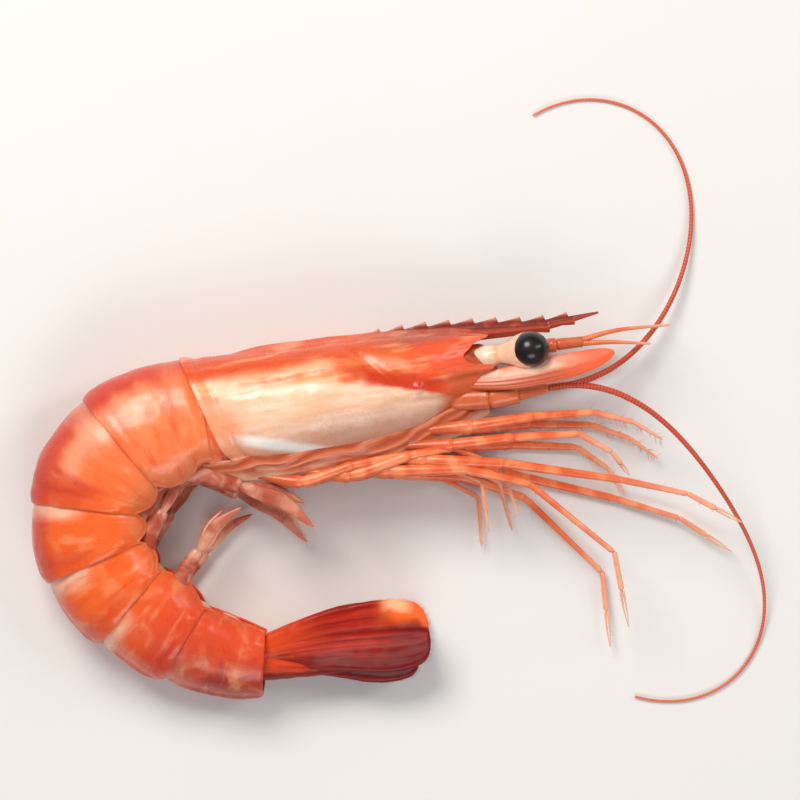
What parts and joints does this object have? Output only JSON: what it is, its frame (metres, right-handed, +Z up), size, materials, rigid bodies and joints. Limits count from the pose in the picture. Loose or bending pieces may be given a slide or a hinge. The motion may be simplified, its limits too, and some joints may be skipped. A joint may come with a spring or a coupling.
{
  "type": "cooked tiger prawn",
  "caption": "Whole cooked tiger prawn in its shell, curled up and lying on its side, with legs, swimmerets, feelers and a folded tail fan.",
  "frame": {"origin": "middle of the outline, on the surface that the prawn lies on", "axes": "+X the way the head points and the longest extent, +Y towards the back of the head, +Z up, out of the prawn's right side"},
  "size_m": [0.0978, 0.0808, 0.0148],
  "materials": {
    "shell": "wet, thin, half-clear cooked shell over pale flesh: orange-red with redder edges and back, and paler sides",
    "cheek": "wet, pale pinkish-white side of the head shell with a lilac-grey shade inside",
    "limb": "half-clear orange-red legs and swimmerets with paler joints and tips",
    "tail_fan": "deep red ribbed blades with orange tips",
    "feeler": "thin, smooth, brick-red whip",
    "eye": "glossy black bead with a faint net of facets"
  },
  "bodies": {
    "root": {"prawn": "shell", "eye_right": "eye", "eye_left": "eye", "feeler_right": "feeler", "feeler_left": "feeler"}
  },
  "joints": []
}
